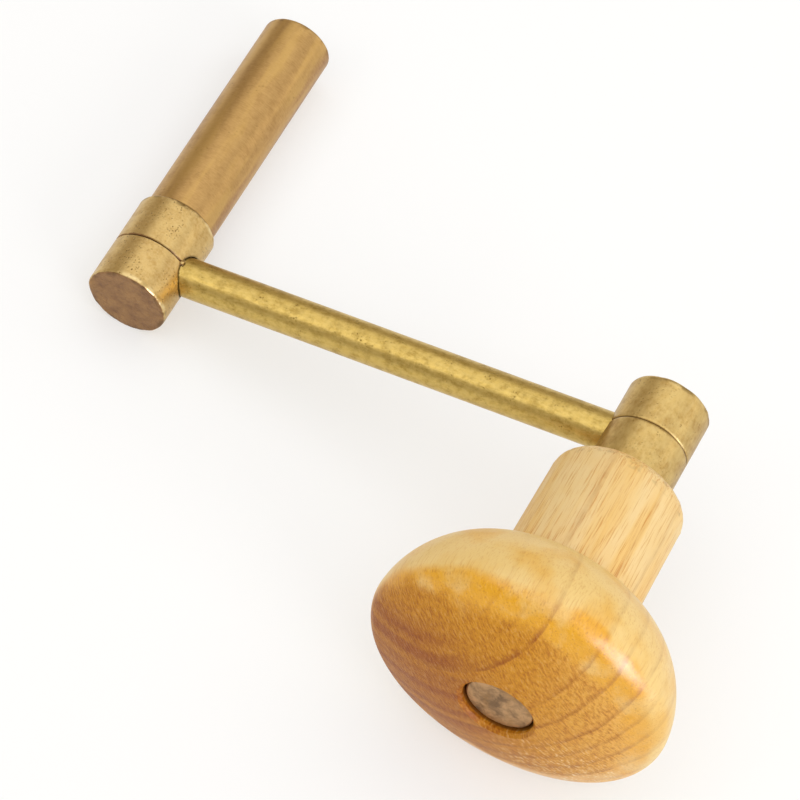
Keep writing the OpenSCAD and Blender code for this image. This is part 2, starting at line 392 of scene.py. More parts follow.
        # the sawn end: painted shade makes it dull and reddish; its edge is ragged, with scratches in
        # several directions
        facing = add("SeparateXYZ", {"Vector": space.outputs["Normal"]}).node.outputs["Y"]
        facing = add("Math", {0: nick, 1: 0.9, 2: facing}, "MULTIPLY_ADD")
        ended = add("MapRange", {"Value": facing, "From Min": -0.2, "From Max": -0.36})
        shadedEnd = add("MapRange", {"Value": cloud, "From Min": 0.35, "From Max": 0.65})
        shadedEnd = add("Mix", {
            "Factor": shadedEnd, "A": tint(look["endShadeTone"]), "B": tint(look["endShadePatch"])}, data_type="RGBA")
        for turn in look["scratchTurns"]:
            flat = add("Mapping", {
                "Vector": key, "Rotation": (0, math.radians(turn), 0), "Scale": look["scratchSize"]},
                vector_type="TEXTURE")
            cut = add("TexNoise", {"Vector": flat, "Scale": 1.0, "Detail": 2.0})
            cut = add("MapRange", {"Value": cut, "From Min": 0.62, "From Max": 0.72, "To Max": 0.3})
            shadedEnd = add("Mix", {"Factor": cut, "A": shadedEnd, "B": tint(look["scratch"])}, data_type="RGBA")
            cut = add("Math", {0: cut, 1: ended}, "MULTIPLY")
            height = add("Math", {0: cut, 1: -2.0, 2: height}, "MULTIPLY_ADD")
        tone = add("Mix", {"Factor": ended, "A": tone, "B": shadedEnd}, data_type="RGBA")
        rough = add("Math", {0: ended, 1: 0.1, 2: rough}, "MULTIPLY_ADD")
        pocks = add("Math", {0: cloud, 1: ended}, "MULTIPLY")
        height = add("Math", {0: pocks, 1: 4.0, 2: height}, "MULTIPLY_ADD")
    tone = add("Mix", {"Factor": shadeAndChips, "A": tone, "B": tint(look["shadeAndChipTone"])}, data_type="RGBA")
    bump = add("Bump", {"Height": height, "Distance": look["bump"] * mm})
    shader = add("BsdfPrincipled", {
        "Base Color": tone, "Metallic": 1.0, "Roughness": rough, "Normal": bump})
    add("OutputMaterial", {"Surface": shader})
    return material


# Winding barrel: brushed bar, with an undercut foot on its boss and a square socket in its mouth
barrel = {
    "spigotRadius": 4.0,
    "footGap": 0.18,
    "footDepth": 0.25,
    "footRise": 0.12,
    "mouthRound": 0.5,
    "socketWidth": 5.5,
    "socketDepth": 18.0,
    "reliefDepth": 3.0,
    "leadIn": 0.6,
    "drillOver": 1.0,  # how far outside a cut starts
    "sectionStep": 0.5,
    "turning": {
        "Sides": 128, "Ripple Height": 0.02, "Ripple Size": 6.0,
        "Edge Dent": 0.1, "Dent Size": 1.5, "Seed": 1.0,
    },
    "finish": {
        # the darkest tone paints shade into corners and colours dark chips
        "clean": "#b9925a", "aged": "#9f7846", "brushed": "#cda86c", "edge": "#d8b67a", "shadeAndChipTone": "#4a3418",
        # the side tone is painted shade on the bar's sides and underside
        "pit": "#7d5f34", "sideTone": "#94643c", "sheenBandTone": "#d2ab62",
        "brushSize": (0.9, 0.2, 0.9), "brushTone": 0.45, "brushRough": 0.2, "roughness": 0.27,
        # bands of the brighter tone paint sheen along the bar
        "sideShadeShare": 0.75, "sheenBandShare": 0.5, "bandSize": (2.4, 20.0, 2.4),
        "cloudSize": 1.8, "tarnish": 0.5, "pitSize": 0.5, "pitPatch": 5.0, "pitFrom": 0.55,
        "nickSize": 1.2, "nickLimit": (-2.0, 2.0), "nickBright": 0.4, "nickDark": 0.3, "bump": 0.012,
    },
}


def makeBarrel():
    size = barrel
    foot = bossHigh.y
    neckIn = barrelRadius - size["footDepth"]
    gapTop = foot + size["footGap"]
    lip = size["mouthRound"]
    section = [
        (0, barrelLow.y, 0),
        (size["spigotRadius"], barrelLow.y, 0),
        # the foot is marked for painted shade where the barrel meets its boss
        (size["spigotRadius"], foot, -1),
        (neckIn, foot, -1),
        (neckIn, gapTop, -1),
        (barrelRadius, gapTop + size["footRise"], -0.7),
        (barrelRadius, gapTop + shortFade, 0),
        (barrelRadius, -lip - longFade, 0),
    ]
    section += arc((barrelRadius - lip, -lip), lip, 0, 90, 8, 1.0)
    section += [(barrelRadius - lip - shortFade, 0, 0), (0, 0, 0)]
    brass = brassFinish("brushedBrass", size["finish"])
    piece = turnPiece("turned_barrel", section, Matrix.Identity(4), size, brass)
    half = size["socketWidth"] / 2
    over = size["drillOver"]
    depth = size["socketDepth"] + over
    block = bmesh.new()
    bmesh.ops.create_cube(block, size=1)
    bmesh.ops.scale(block, verts=block.verts, vec=(2 * half * mm, depth * mm, 2 * half * mm))
    bmesh.ops.translate(block, verts=block.verts, vec=(0, (over - depth / 2) * mm, 0))
    square = bpy.data.meshes.new("square")
    block.to_mesh(square)
    block.free()
    shapeWith(piece, square)
    # drilled relief below the square, and a cone that breaks the corners at the mouth
    bottom = -(size["socketDepth"] + size["reliefDepth"])
    shapeWith(piece, drillMesh(half, half, bottom, -size["socketDepth"] + over, alongY))
    corner = half * math.sqrt(2)
    lead = size["leadIn"]
    slope = 1 + over / lead
    shapeWith(piece, drillMesh(corner - lead / 2, corner - lead / 2 + lead * slope, -lead, over, alongY))
    dress(piece, "crank", "winding_barrel")


# Barrel's boss: short bar, sawn off behind, with a fine turned line over the arm's axis
barrelBoss = {
    "edgeRound": 0.4,
    "lineWidth": 0.42,
    "lineDepth": 0.24,
    "burr": (5.6, 0.0, 3.1),
    "burrSize": (0.45, 0.5, 0.4),
    "burrLump": 0.5,
    "burrGrain": 1.7,
    "spigotRadius": 4.03,
    "spigotDepth": 4.05,
    "armGap": 0.15,
    "armPast": 4.05,
    "drillOver": 2.0,
    "sectionStep": 0.3,
    "turning": {
        "Sides": 160, "Ripple Height": 0.03, "Ripple Size": 3.0,
        "Edge Dent": 0.34, "Dent Size": 1.8, "Seed": 4.0,
    },
    "finish": {
        # the darkest tone paints shade into corners and seams and colours dark chips
        "clean": "#cdac6c", "aged": "#b48e4e", "brushed": "#dcc084", "edge": "#f2dda6", "shadeAndChipTone": "#4a3517",
        # the end tones are painted shade on the sawn end
        "pit": "#7a5a2a", "endShadeTone": "#825f42", "endShadePatch": "#aa8458", "scratch": "#6e4e33",
        "scratchTurns": (24, 74, 140), "scratchSize": (1.3, 1.0, 0.35),
        "brushSize": (0.45, 0.4, 0.45), "brushTone": 0.5, "brushRough": 0.16, "roughness": 0.25,
        "cloudSize": 2.6, "tarnish": 0.75, "pitSize": 0.36, "pitPatch": 3.4, "pitFrom": 0.38,
        "nickSize": 2.2, "nickLimit": (-1.0, 3.0), "nickBright": 0.7, "nickDark": 0.45, "bump": 0.02,
        # reach of the painted shade round the arm's seat
        "seamShadeLimit": (armRadius + 0.45, armRadius + 0.1),
    },
}

# Handle's boss: the same bar with softer edges and a shallower line, riveted to the spindle
handleBoss = {
    "edgeRound": 0.6,
    "lineWidth": 0.6,
    "lineDepth": 0.13,
    "tailRadius": 2.03,
    "rivetRadius": 2.83,
    "rivetDepth": 1.0,
    "armGap": 0.15,
    "armPast": 4.05,
    "drillOver": 2.0,
    "sectionStep": 0.3,
    "turning": {
        "Sides": 160, "Ripple Height": 0.05, "Ripple Size": 5.0,
        "Edge Dent": 0.2, "Dent Size": 1.6, "Seed": 9.0,
    },
    "finish": {
        # the darkest tone paints shade into corners and seams and colours dark chips
        "clean": "#d0b06c", "aged": "#a27a3a", "brushed": "#dcc282", "edge": "#e2cc92", "shadeAndChipTone": "#6e5228",
        # the side tone is painted shade on the boss's sides and underside
        "pit": "#8c6a34", "sideTone": "#8f6a34", "sideShadeShare": 0.7,
        "brushSize": (0.5, 1.4, 0.5), "brushTone": 0.45, "brushRough": 0.18, "roughness": 0.27,
        "cloudSize": 2.6, "tarnish": 0.58, "pitSize": 0.4, "pitPatch": 4.0, "pitFrom": 0.45,
        "nickSize": 1.6, "nickLimit": (-2.0, 2.0), "nickBright": 0.3, "nickDark": 0.4, "bump": 0.016,
        # reach of the painted shade round the arm's seat
        "seamShadeLimit": (armRadius + 0.45, armRadius + 0.1),
    },
}


# Side of a boss from its back edge to its front edge, with rounded corners and the turned line
def bossSide(size):
    edge = size["edgeRound"]
    inner = bossRadius - edge
    half = size["lineWidth"] / 2
    side = [(inner - longFade, bossBack, 0)]
    side += arc((inner, bossBack + edge), edge, -90, 0, 7, 1.0)
    side += [
        (bossRadius, bossBack + edge + longFade, 0),
        (bossRadius, -half - shortFade, 0),
        (bossRadius, -half, 0.25),
        # painted shade at the bottom of the turned line
        (bossRadius - size["lineDepth"], 0, -1),
        (bossRadius, half, 0.25),
        (bossRadius, half + shortFade, 0),
        (bossRadius, bossFront - edge - longFade, 0),
    ]
    side += arc((inner, bossFront - edge), edge, 0, 90, 7, 1.0)
    return side + [(inner - shortFade, bossFront, 0)]


# Seat for the arm's end, drilled towards the other boss
def drillArmSeat(piece, size, place, side):
    radius = armRadius + size["armGap"]
    turned = place @ Matrix.Rotation(math.radians(90 * side), 4, "Y")
    shapeWith(piece, drillMesh(radius, radius, -size["armPast"], bossRadius + size["drillOver"], turned))


# Speck of solder left where the turned line runs into the arm's seat
def burrMesh(size):
    work = bmesh.new()
    bmesh.ops.create_icosphere(work, subdivisions=3, radius=1)
    for vert in work.verts:
        lump = 1 + size["burrLump"] * noise.noise(vert.co * size["burrGrain"])
        vert.co = Vector(c * s * lump for c, s in zip(vert.co, size["burrSize"])) * mm
    mesh = bpy.data.meshes.new("burr")
    work.to_mesh(mesh)
    work.free()
    settle(mesh, lying @ Matrix.Translation(size["burr"]))
    return mesh


def makeBarrelBoss():
    size = barrelBoss
    floor = bossFront - size["spigotDepth"]
    section = [(0, bossBack, 0)] + bossSide(size)
    # painted shade in the corner where the barrel's spigot enters
    section += [(size["spigotRadius"], bossFront, -1), (size["spigotRadius"], floor, 0), (0, floor, 0)]
    piece = turnPiece("pitted_boss", section, lying, size, brassFinish("pittedBrass", size["finish"]))
    drillArmSeat(piece, size, lying, 1)
    shapeWith(piece, burrMesh(size), "UNION")
    dress(piece, "crank", "barrel_boss")


def makeHandleBoss():
    size = handleBoss
    tail = size["tailRadius"]
    section = [(tail, bossBack, 0)] + bossSide(size)
    # painted shade in the corner of the rivet's recess
    section += [(size["rivetRadius"], bossFront, -1), (tail, bossFront - size["rivetDepth"], 0)]
    section += [(tail, bossBack, 0)]
    piece = turnPiece("worn_boss", section, atHandle, size, brassFinish("wornBrass", size["finish"]))
    drillArmSeat(piece, size, atHandle, -1)
    dress(piece, "crank", "handle_boss")


# Arm: drawn rod, seated in both bosses
arm = {
    "past": 4.0,
    "chamfer": 0.4,
    "tailRadius": 2.03,
    "sectionStep": 0.6,
    "turning": {
        "Sides": 96, "Ripple Height": 0.04, "Ripple Size": 7.0,
        "Edge Dent": 0.0, "Dent Size": 1.0, "Seed": 14.0,
    },
    "finish": {
        # the darkest tone would paint shade into corners and colour dark chips
        "clean": "#cbac5e", "aged": "#9f8038", "brushed": "#dabf74", "edge": "#e0cb8c", "shadeAndChipTone": "#4b3a16",
        "pit": "#8a6e30",
        "brushSize": (1.1, 0.4, 0.4), "brushTone": 0.5, "brushRough": 0.16, "roughness": 0.25,
        "cloudSize": 1.5, "tarnish": 0.75, "pitSize": 0.4, "pitPatch": 3.0, "pitFrom": 0.46,
        "nickSize": 1.0, "nickLimit": (-2.0, 2.0), "nickBright": 0.0, "nickDark": 0.0, "bump": 0.024,
    },
}


def makeArm():
    size = arm
    start = -size["past"]
    end = throw + size["past"]
    cut = size["chamfer"]
    section = [(0, start, 0), (armRadius - cut, start, 0), (armRadius, start + cut, 0)]
    section += [(armRadius, end - cut, 0), (armRadius - cut, end, 0), (0, end, 0)]
    place = lying @ Matrix.Rotation(math.radians(-90), 4, "Z")
    piece = turnPiece("drawn_arm", section, place, size, brassFinish("drawnBrass", size["finish"]))
    tail = size["tailRadius"]
    shapeWith(piece, drillMesh(tail, tail, -2 * armRadius, 2 * armRadius, atHandle @ alongY))
    dress(piece, "crank", "crank_arm")


# Spindle: steel pin with a flat head in the knob's face and a riveted end in the boss
spindle = {
    "shankRadius": 3.175,
    "headRadius": 5.2,
    "headThick": 2.0,
    "headRound": 0.4,
    "headDome": 0.12,
    "tailRadius": 2.0,
    "rivetRadius": 2.8,
    "rivetDepth": 1.0,
    "rivetDome": 0.2,
    "sectionStep": 0.4,
    "turning": {
        "Sides": 96, "Ripple Height": 0.03, "Ripple Size": 2.5,
        "Edge Dent": 0.1, "Dent Size": 1.2, "Seed": 21.0,
    },
    "finish": {
        "bright": "#bd976a", "dark": "#826648", "stain": "#a87e48", "scratch": "#5c4a34",
        "scratchTurns": (-35, 30, 75), "scratchSize": (1.6, 1.0, 0.2),
        "mottleSize": 2.6, "roughness": 0.36, "bump": 0.02,
    },
}


# Aged mild steel: a dull grey face, mottled brown by handling, with a soft sheen. Scratches are
# drawn wider than the real ones, so that they show
def steelFinish(name, look):
    material = bpy.data.materials.new(name)
    add = emptyTree(material)
    space = add("TexCoord").node
    key = add("Mapping", {
        "Vector": space.outputs["Object"], "Rotation": (0, lieAngle, 0), "Scale": (1 / mm, 1 / mm, 1 / mm)})
    mottle = add("TexNoise", {
        "Vector": key, "Scale": 1 / look["mottleSize"], "Detail": 6.0, "Roughness": 0.6, "Distortion": 0.4})
    dark = add("MapRange", {"Value": mottle, "From Min": 0.42, "From Max": 0.62})
    tone = add("Mix", {
        "Factor": dark, "A": tint(look["bright"]), "B": tint(look["dark"])}, data_type="RGBA")
    rust = add("TexNoise", {"Vector": key, "Scale": 0.9 / look["mottleSize"], "Detail": 3.0})
    rust = add("MapRange", {"Value": rust, "From Min": 0.5, "From Max": 0.7, "To Max": 0.6})
    tone = add("Mix", {"Factor": rust, "A": tone, "B": tint(look["stain"])}, data_type="RGBA")
    height = mottle
    for turn in look["scratchTurns"]:
        flat = add("Mapping", {
            "Vector": key, "Rotation": (0, math.radians(turn), 0), "Scale": look["scratchSize"]},
            vector_type="TEXTURE")
        cut = add("TexNoise", {"Vector": flat, "Scale": 1.0, "Detail": 2.0})
        cut = add("MapRange", {"Value": cut, "From Min": 0.66, "From Max": 0.74, "To Max": 0.6})
        tone = add("Mix", {"Factor": cut, "A": tone, "B": tint(look["scratch"])}, data_type="RGBA")
        height = add("Math", {0: cut, 1: -1.0, 2: height}, "MULTIPLY_ADD")
    rough = add("Math", {0: mottle, 1: 0.25, 2: look["roughness"]}, "MULTIPLY_ADD")
    bump = add("Bump", {"Height": height, "Distance": look["bump"] * mm})
    shader = add("BsdfPrincipled", {
        "Base Color": tone, "Metallic": 1.0, "Roughness": rough, "Normal": bump})
    add("OutputMaterial", {"Surface": shader})
    return material


def makeSpindle():
    size = spindle
    head = size["headRadius"]
    edge = size["headRound"]
    foot = headFace + size["headThick"]
    face = headFace + size["headDome"]
    rivet = size["rivetRadius"]
    section = [
        (0, bossFront + size["rivetDome"], 0),
        (rivet * 0.5, bossFront + size["rivetDome"] * 0.8, 0),
        (rivet * 0.9, bossFront + size["rivetDome"] * 0.25, 0.5),
        (rivet, bossFront - 0.05, 0),
        (size["tailRadius"], bossFront - size["rivetDepth"], 0),
        (size["tailRadius"], bossBack, 0),
        (size["shankRadius"], bossBack, 0),
        (size["shankRadius"], foot, 0),
        (head - edge, foot, 0),
    ]
    section += arc((head - edge, foot - edge), edge, 90, 0, 5)
    section += arc((head - edge, face + edge), edge, 0, -90, 6, 0.6)
    section += [(head * 0.6, headFace + size["headDome"] * 0.4, 0), (head * 0.3, headFace + 0.02, 0)]
    section += [(0, headFace, 0)]
    piece = turnPiece("steel_spindle", section, atHandle, size, steelFinish("agedSteel", size["finish"]))
    dress(piece, "crank", "handle_spindle")


# Knob: turned from one block with its grain along the axis, bored for the spindle and sunk for its head
knob = {
    "length": 41.8,
    "crown": 8.0,
    "rimRound": 3.6,
    "backRound": 14.5,
    "backTurn": 4.5,
    "neckTop": 10.25,
    "neckFoot": 10.45,
    "neckRound": 2.6,
    "neckFade": 1.0,
    "valleyRound": 0.5,
    "valleyFade": 0.9,
    "boreRadius": 3.225,
    "sinkRadius": 5.5,
    "sinkChamfer": 0.5,
    "sinkBreak": 0.1,
    "sinkClear": 0.3,
    # how far above and below the head's face the sink's wall is painted in shade
    "shadeAbove": 0.15,
    "shadeBelow": 0.1,
    "sectionStep": 0.7,
    "turning": {
        "Sides": 192, "Ripple Height": 0.1, "Ripple Size": 9.0,
        "Edge Dent": 0.5, "Dent Size": 1.4, "Seed": 33.0,
    },
    "finish": {
        "sideTone": "#ebc980", "neckTone": "#e9cc92", "rimTone": "#e8a802", "patch": "#e4b04c",
        # the darkest brown paints shade in the valley and the sink, and colours torn grain
        "faceTone": "#d2921e", "faceLight": "#edb658", "paintedGlint": "#f2dcae", "stain": "#623814",
        "streak": "#dbaa6e", "heart": "#cbaaac", "line": "#b07434", "pore": "#b98a4c", "nap": "#c08c50",
        "pith": (-20.87, 30.78),
        "ringFrom": 10.0, "ringTo": 64.0,
        "rings": ((22.2, 0.25), (25.9, 0.2), (29.4, 0.9), (37.5, 0.55), (41.4, 0.65),
                  (45.5, 0.65), (48.5, 0.45), (51.5, 0.6), (54.3, 0.45), (57.2, 0.45)),
        "ringEdge": ((-0.8, 0.12), (-0.04, 1.0), (0.18, 0.0)),  # reach from the line, share of its strength
        "ringWaver": 0.8, "ringBreak": 2.6,
        "heartCentre": (-14.0, -3.0),
        "heartFrom": 22.0, "heartTo": 8.0,
        "zoneSize": 3.6,
        "lineFrom": -14.0, "lineTo": 0.0,
        "sinkReach": 6.5,
        "goldLimit": (0.3, 0.8), "goldRagged": 0.4, "goldSize": 5.0,
        # the gold fades off the outer side as painted sheen
        "sheenFrom": 15.5, "sheenTo": 20.0, "sheenMost": 0.45,
        "poolCentres": ((11.4, 19.0), (19.0, 11.6)),
        "poolFrom": 5.0, "poolTo": 1.5, "poolMost": 0.45,
        "soakLimit": (22.2, 19.4), "soakRagged": 5.0,
        "spillFrom": -6.0, "spillTo": -18.0, "spillReach": 4.5,
        # the face lighter towards the right: partly a wood tone, partly painted light
        "lightFrom": 4.0, "lightTo": 20.0,
        "patchSize": 7.0, "bandSize": 4.0,
        "neckLimit": (11.6, 10.6),
        "fibreSize": 0.19, "fibreStretch": 30.0,
        "poreSpacing": 0.4, "poreStretch": 12.0,
        "markTurn": 56.0, "markSize": (1.0, 1.0, 0.3),
        "tornSize": 1.5,
        # where the painted glints gather low on the face
        "glintCentre": (9.0, -13.5),
        "glintFrom": 12.0, "glintTo": 4.0,
        "waveSize": 5.0, "waveHeight": 0.3,
        "bump": 0.1,
    },
}


# Lacquered ash: growth rings in lines over the face, and fibres in fine streaks down the sides, under a
# clear soft-gloss coat. The face is rubbed across, and its cut fibres drank the lacquer and turned
# brown-gold. Fibres, pores and rubbing marks are drawn coarser than the real ones, so that they show
def woodFinish(name, look):
    material = bpy.data.materials.new(name)
    add = emptyTree(material)
    space = add("TexCoord").node
    # millimetres about the knob's axis, with y along the grain
    grain = add("Mapping", {
        "Vector": space.outputs["Object"],
        "Location": (-throw, -armY, 0),
        "Rotation": (0, lieAngle, 0),
        "Scale": (1 / mm, 1 / mm, 1 / mm),
    })
    # slow bends, about 11 mm long
    waver = add("TexNoise", {"Vector": grain, "Scale": 0.09, "Detail": 3.0}).node.outputs["Color"]
    waver = add("VectorMath", {0: waver, 1: (0.5, 0.5, 0.5)}, "SUBTRACT")
    waver = add("VectorMath", {0: waver, "Scale": 2 * look["ringWaver"]}, "SCALE")
    bent = add("VectorMath", {0: grain, 1: waver}, "ADD")
    flow = add("Mapping", {"Vector": grain, "Scale": (1, 1 / look["poreStretch"], 1)})
    threads = add("Mapping", {"Vector": grain, "Scale": (1, 1 / look["fibreStretch"], 1)})
    fibre = add("TexNoise", {
        "Vector": threads, "Scale": 1 / look["fibreSize"], "Detail": 3.0, "Roughness": 0.6})
    broad = add("TexNoise", {"Vector": flow, "Scale": 1 / look["bandSize"], "Detail": 4.0})
    # distances across the grain: from the pith, the heartwood, the painted glints, the two gold pools and
    # the axis
    highPool, lowPool = look["poolCentres"]
    centres = {
        "pith": look["pith"], "heart": look["heartCentre"], "paintedGlint": look["glintCentre"],
        "highPool": highPool, "lowPool": lowPool, "axis": (0, 0),
    }
    away = {}
    for label, (x, z) in centres.items():
        start = grain if label == "axis" else bent
        offset = add("VectorMath", {0: start, 1: (x, 0, z)}, "SUBTRACT")
        offset = add("VectorMath", {0: offset, 1: (1, 0, 1)}, "MULTIPLY")
        away[label] = add("VectorMath", {0: offset}, "LENGTH").node.outputs["Value"]
    # each ring darkens slowly towards its line and starts pale again behind it
    aged = add("MapRange", {
        "Value": away["pith"], "From Min": look["ringFrom"], "From Max": look["ringTo"]})
    ring = add("ValToRGB", {"Fac": aged})
    stops = ring.node.color_ramp.elements
    span = look["ringTo"] - look["ringFrom"]
    for stop in stops:
        stop.color = (0, 0, 0, 1)
    for radius, strength in look["rings"]:
        for reach, share in look["ringEdge"]:
            stop = stops.new((radius + reach - look["ringFrom"]) / span)
            level = share * strength
            stop.color = (level, level, level, 1)
    gap = add("TexNoise", {"Vector": bent, "Scale": 1 / look["ringBreak"], "Detail": 3.0})
    gap = add("MapRange", {"Value": gap, "From Min": 0.36, "From Max": 0.54, "To Min": 0.5})
    # lacquer: clear gold on whatever faces the front, except on the outer side, left pale as painted sheen,
    # and brown-gold inside a ragged circle where the cut fibres soaked it up, which spilled over the rim on
    # the inner side
    facing = add("SeparateXYZ", {"Vector": space.outputs["Normal"]}).node.outputs["Y"]
    squarely = add("Math", {0: broad, 1: look["goldRagged"]}, "MULTIPLY")
    squarely = add("Math", {0: facing, 1: -1.0, 2: squarely}, "MULTIPLY_ADD")
    across = add("SeparateXYZ", {"Vector": bent})
    rubAndSheen = add("MapRange", {
        "Value": across, "From Min": look["sheenFrom"], "From Max": look["sheenTo"], "To Max": look["sheenMost"]},
        **softStep)
    squarely = add("Math", {0: squarely, 1: rubAndSheen}, "SUBTRACT")
    pool = add("Math", {0: away["highPool"], 1: away["lowPool"]}, "MINIMUM")
    pool = add("MapRange", {
        "Value": pool, "From Min": look["poolFrom"], "From Max": look["poolTo"]}, **softStep)
    squarely = add("Math", {0: pool, 1: look["poolMost"], 2: squarely}, "MULTIPLY_ADD")
    front = add("MapRange", {
        "Value": squarely, "From Min": look["goldLimit"][0], "From Max": look["goldLimit"][1]}, **softStep)
    sunken = add("Math", {0: away["axis"], 1: look["sinkReach"]}, "LESS_THAN")
    front = add("Math", {0: front, 1: sunken}, "MAXIMUM")
    spill = add("MapRange", {
        "Value": across, "From Min": look["spillFrom"], "From Max": look["spillTo"],
        "To Max": look["spillReach"]})
    reach = add("Math", {0: broad, 1: look["soakRagged"], 2: away["axis"]}, "MULTIPLY_ADD")
    reach = add("Math", {0: reach, 1: spill}, "SUBTRACT")
    soaked = add("MapRange", {
        "Value": reach, "From Min": look["soakLimit"][0], "From Max": look["soakLimit"][1]}, **softStep)
    soaked = add("Math", {0: soaked, 1: front}, "MULTIPLY")
    uneven = add("TexNoise", {"Vector": bent, "Scale": 1 / look["goldSize"], "Detail": 3.0})
    uneven = add("MapRange", {"Value": uneven, "From Min": 0.36, "From Max": 0.5, "To Min": 0.45})
    uneven = add("Math", {0: uneven, 1: pool}, "MAXIMUM")
    gold = add("Math", {0: front, 1: uneven}, "MULTIPLY")
    neck = add("MapRange", {
        "Value": away["axis"], "From Min": look["neckLimit"][0], "From Max": look["neckLimit"][1]})
    behind = add("Math", {0: 1.0, 1: front}, "SUBTRACT")
    neck = add("Math", {0: neck, 1: behind}, "MULTIPLY")
    tone = add("Mix", {
        "Factor": neck, "A": tint(look["sideTone"]), "B": tint(look["neckTone"])}, data_type="RGBA")
    cloud = add("TexNoise", {"Vector": bent, "Scale": 1 / look["patchSize"], "Detail": 4.0})
    cloud = add("MapRange", {"Value": cloud, "From Min": 0.46, "From Max": 0.66, "To Max": 0.7})
    band = add("MapRange", {"Value": broad, "From Min": 0.48, "From Max": 0.62, "To Max": 0.5})
    band = add("Math", {0: band, 1: neck}, "MULTIPLY")
    headOnly = add("MapRange", {"Value": neck, "To Min": 1.0, "To Max": 0.3})
    cloud = add("Math", {0: cloud, 1: headOnly}, "MULTIPLY")
    cloud = add("Math", {0: cloud, 1: band}, "MAXIMUM")
    tone = add("Mix", {"Factor": cloud, "A": tone, "B": tint(look["patch"])}, data_type="RGBA")
    tone = add("Mix", {"Factor": gold, "A": tone, "B": tint(look["rimTone"])}, data_type="RGBA")
    # the face is painted lighter towards the right: partly a wood tone, partly painted light from that side
    light = add("MapRange", {"Value": across, "From Min": look["lightFrom"], "From Max": look["lightTo"]})
    face = add("Mix", {
        "Factor": light, "A": tint(look["faceTone"]), "B": tint(look["faceLight"])}, data_type="RGBA")
    tone = add("Mix", {"Factor": soaked, "A": tone, "B": face}, data_type="RGBA")
    # everything finer darkens that tone: heartwood, streaks, growth lines, pores and rubbing marks
    heart = add("MapRange", {
        "Value": away["heart"], "From Min": look["heartFrom"], "From Max": look["heartTo"]}, **softStep)
    zone = add("TexNoise", {
        "W": away["pith"], "Scale": 1 / look["zoneSize"], "Detail": 1.0}, noise_dimensions="1D")
    zone = add("MapRange", {"Value": zone, "From Min": 0.4, "From Max": 0.6, "To Min": 0.45})
    heart = add("Math", {0: heart, 1: zone}, "MULTIPLY")
    heartShow = add("Math", {0: heart, 1: soaked}, "MULTIPLY")
    streakMost = add("MapRange", {"Value": neck, "To Min": 0.34, "To Max": 0.65})
    streak = add("MapRange", {"Value": fibre, "From Min": 0.53, "From Max": 0.66})
    streak = add("Math", {0: streak, 1: streakMost}, "MULTIPLY")
    lineMost = add("MapRange", {"Value": front, "To Min": 0.36, "To Max": 0.85})
    lineShow = add("Math", {0: ring, 1: lineMost}, "MULTIPLY")
    lineShow = add("Math", {0: lineShow, 1: gap}, "MULTIPLY")
    fade = add("MapRange", {
        "Value": across, "From Min": look["lineFrom"], "From Max": look["lineTo"], "To Min": 0.2})
    lineShow = add("Math", {0: lineShow, 1: fade}, "MULTIPLY")
    cells = add("TexVoronoi", {"Vector": flow, "Scale": 1 / look["poreSpacing"]}).node
    pore = add("MapRange", {
        "Value": cells.outputs["Distance"], "From Min": 0.5, "From Max": 0.1}, **softStep)
    chance = add("SeparateColor", {"Color": cells.outputs["Color"]})
    chance = add("MapRange", {"Value": chance, "From Min": 0.3, "From Max": 0.8})
    pore = add("Math", {0: pore, 1: chance}, "MULTIPLY")
    poreMost = add("MapRange", {"Value": front, "To Min": 0.03, "To Max": 0.3})
    poreShow = add("Math", {0: pore, 1: poreMost}, "MULTIPLY")
    # short straight strokes slantwise over the face
    marks = add("Mapping", {
        "Vector": grain, "Rotation": (0, math.radians(look["markTurn"]), 0), "Scale": look["markSize"]},
        vector_type="TEXTURE")
    nap = add("TexNoise", {"Vector": marks, "Scale": 1.0, "Detail": 3.0, "Roughness": 0.65})
    napShow = add("MapRange", {"Value": nap, "From Min": 0.46, "From Max": 0.66, "To Max": 0.62})
    napMost = add("MapRange", {"Value": soaked, "To Min": 0.2})
    napShow = add("Math", {0: napShow, 1: front}, "MULTIPLY")
    napShow = add("Math", {0: napShow, 1: napMost}, "MULTIPLY")
    for share, colour in ((heartShow, "heart"), (streak, "streak"), (lineShow, "line"), (poreShow, "pore"),
                          (napShow, "nap")):
        tone = add("Mix", {
            "Factor": share, "A": tone, "B": tint(look[colour])}, data_type="RGBA", blend_type="MULTIPLY")
    # painted glints: pale specks low on the face
    paintedGlint = add("MapRange", {"Value": nap, "From Min": 0.44, "From Max": 0.34, "To Max": 0.95})
    glintMost = add("MapRange", {
        "Value": away["paintedGlint"], "From Min": look["glintFrom"], "From Max": look["glintTo"], "To Min": 0.1})
    paintedGlint = add("Math", {0: paintedGlint, 1: glintMost}, "MULTIPLY")
    paintedGlint = add("Math", {0: paintedGlint, 1: front}, "MULTIPLY")
    tone = add("Mix", {"Factor": paintedGlint, "A": tone, "B": tint(look["paintedGlint"])}, data_type="RGBA")
    # painted shade in the valley and in the sink for the spindle's head, and torn grain on the worn edges
    wear = add("Attribute", attribute_name="wear").node.outputs["Fac"]
    shadeAndTears = add("MapRange", {"Value": wear, "From Min": -0.1, "From Max": -0.9, "To Max": 0.85})
    torn = add("TexNoise", {"Vector": grain, "Scale": 1 / look["tornSize"], "Detail": 3.0})
    torn = add("MapRange", {"Value": torn, "From Min": 0.57, "From Max": 0.68, "To Max": 0.25})
    edge = add("MapRange", {"Value": wear, "From Min": 0.3, "From Max": 0.55})
    torn = add("Math", {0: torn, 1: edge}, "MULTIPLY")
    shadeAndTears = add("Math", {0: shadeAndTears, 1: torn}, "MAXIMUM")
    tone = add("Mix", {"Factor": shadeAndTears, "A": tone, "B": tint(look["stain"])}, data_type="RGBA")
